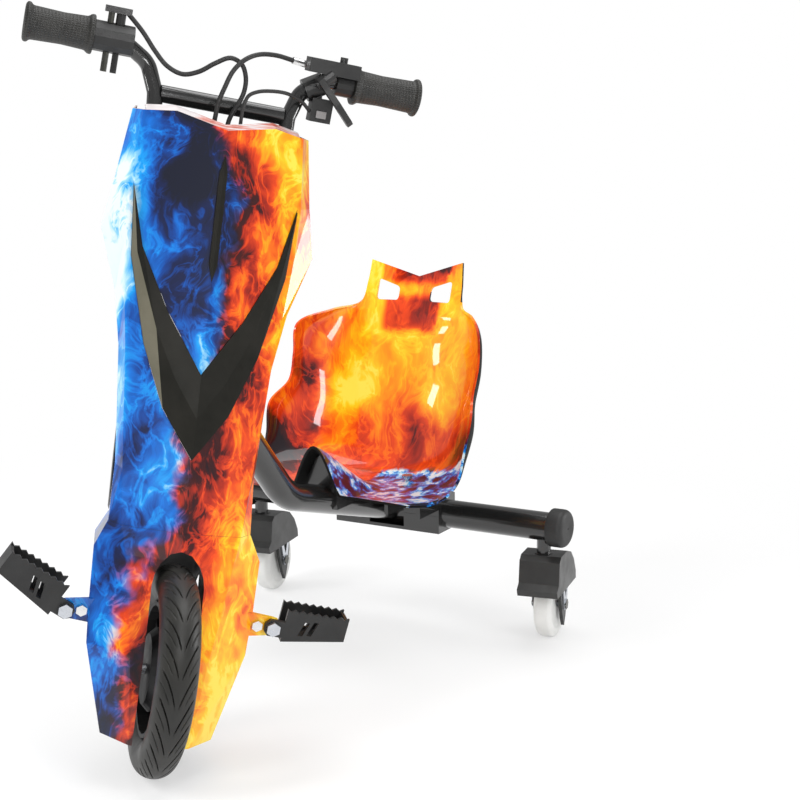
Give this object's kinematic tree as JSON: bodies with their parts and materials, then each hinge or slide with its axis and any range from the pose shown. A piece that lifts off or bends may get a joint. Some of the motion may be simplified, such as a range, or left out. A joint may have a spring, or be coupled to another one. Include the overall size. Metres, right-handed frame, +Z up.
{
  "type": "electric drift scooter with swivelling rear casters",
  "caption": "Drift scooter: a raked fork with a hub-motor wheel and faceted fairing steers in a bent tube frame with a bucket seat on swivelling rear casters.",
  "frame": {"origin": "centre of the bounding box at floor level, where the wheels stand", "axes": "+Z up; the front of the scooter looks along -Y and the seat is towards +Y; +X is the rider's left"},
  "size_m": [0.5806, 0.8362, 0.9117],
  "materials": {
    "black_paint": "gloss black powder coat",
    "black_plastic": "moulded, satin black",
    "rubber": "moulded black rubber",
    "tyre": "moulded tread",
    "printed_fairing": "gloss lacquer over a blue and orange print",
    "printed_seat": "gloss lacquer over an orange print",
    "steel": "zinc plated",
    "casting": "dark painted casting",
    "white_plastic": "moulded white",
    "battery_wrap": "blue shrink sleeve"
  },
  "bodies": {
    "frame": {"main_frame": "black_paint", "bearing_cup_upper": "casting", "bearing_cup_lower": "casting", "rear_cross_tube": "black_paint", "end_cap_left": "rubber", "end_cap_right": "rubber", "seat_shell": "printed_seat", "seat_bracket_front": "black_paint", "seat_bracket_rear": "black_paint", "seat_clamp_plate": "black_paint", "seat_bolt_left": "steel", "seat_bolt_right": "steel", "kingpin_left": "steel", "kingpin_right": "steel"},
    "front_end": {"front_axle": "steel", "axle_nut_right": "steel", "axle_nut_left": "steel", "upright_left": "black_paint", "upright_right": "black_paint", "handlebar_crossbar": "black_paint", "lower_yoke": "black_paint", "upper_yoke": "black_paint", "steering_bolt": "steel", "steering_nut_upper": "steel", "steering_nut_lower": "steel", "front_shell": "printed_fairing", "chevron_trim": "black_plastic", "slot_trim": "black_plastic", "wheel_cover": "printed_fairing", "peg_bracket_left": "printed_fairing", "peg_bracket_right": "printed_fairing", "peg_bolt_left": "steel", "peg_bolt_right": "steel", "side_panel_left": "black_plastic", "side_panel_right": "black_plastic", "rear_cover": "black_plastic", "battery_pack": "battery_wrap", "motor_controller": "casting", "throttle_cable": "rubber", "brake_cable": "rubber", "switch_wire": "rubber", "top_cover": "black_plastic", "grip_left": "rubber", "throttle_housing": "black_plastic", "brake_perch": "black_plastic", "switch_box": "black_plastic"},
    "front_wheel": {"front_tyre": "tyre", "hub_motor": "casting"},
    "foot_peg_left": {"foot_peg_left": "black_plastic"},
    "foot_peg_right": {"foot_peg_right": "black_plastic"},
    "throttle": {"throttle_grip": "rubber"},
    "brake_lever": {"brake_lever": "black_plastic"},
    "horn_button": {"horn_button": "white_plastic"},
    "caster_left": {"caster_hood_left": "black_plastic", "caster_axle_left": "steel"},
    "caster_right": {"caster_hood_right": "black_plastic", "caster_axle_right": "steel"},
    "caster_wheel_left": {"caster_wheel_left": "white_plastic"},
    "caster_wheel_right": {"caster_wheel_right": "white_plastic"}
  },
  "joints": [
    {"name": "steering", "type": "hinge", "parent": "frame", "child": "front_end", "pos_m": [0.00228, -0.24964, 0.12848], "axis": [0, 0.2689, 0.9632], "range_deg": [-101.5, 8.5]},
    {"name": "front_wheel_spin", "type": "hinge", "parent": "front_end", "child": "front_wheel", "pos_m": [0.03701, -0.28497, 0.12447], "axis": [0.6884, 0.6987, -0.1951], "continuous": true},
    {"name": "foot_peg_left_fold", "type": "hinge", "parent": "front_end", "child": "foot_peg_left", "pos_m": [0.12557, -0.18401, 0.16291], "axis": [0.6987, -0.7109, -0.0807], "range_deg": [0, 70]},
    {"name": "foot_peg_right_fold", "type": "hinge", "parent": "front_end", "child": "foot_peg_right", "pos_m": [-0.04514, -0.35728, 0.21129], "axis": [-0.6987, 0.7109, 0.0807], "range_deg": [-31.4, 38.6]},
    {"name": "throttle_twist", "type": "hinge", "parent": "front_end", "child": "throttle", "pos_m": [-0.16975, -0.15729, 0.87746], "axis": [-0.6884, -0.6987, 0.1951], "range_deg": [0, 60], "stiffness_Nm_per_rad": 0.25, "springref_deg": -17.19},
    {"name": "brake_lever_pull", "type": "hinge", "parent": "front_end", "child": "brake_lever", "pos_m": [0.06952, 0.04331, 0.81008], "axis": [0.6247, 0.5511, 0.5532], "range_deg": [0, 18], "stiffness_Nm_per_rad": 1, "springref_deg": -11.46},
    {"name": "horn_button_press", "type": "slide", "parent": "front_end", "child": "horn_button", "axis": [-0.6987, 0.7109, 0.0807], "range_m": [0, 0.0018], "stiffness_N_per_m": 300, "springref_m": -0.002},
    {"name": "caster_left_swivel", "type": "hinge", "parent": "frame", "child": "caster_left", "pos_m": [0.25228, 0.32866, 0.12], "axis": [0, 0, 1], "continuous": true},
    {"name": "caster_right_swivel", "type": "hinge", "parent": "frame", "child": "caster_right", "pos_m": [-0.24772, 0.32866, 0.12], "axis": [0, 0, 1], "continuous": true},
    {"name": "caster_wheel_left_spin", "type": "hinge", "parent": "caster_left", "child": "caster_wheel_left", "pos_m": [0.24603, 0.36411, 0.05], "axis": [0.9848, 0.1736, 0], "continuous": true},
    {"name": "caster_wheel_right_spin", "type": "hinge", "parent": "caster_right", "child": "caster_wheel_right", "pos_m": [-0.25397, 0.36411, 0.05], "axis": [0.9848, 0.1736, 0], "continuous": true}
  ]
}
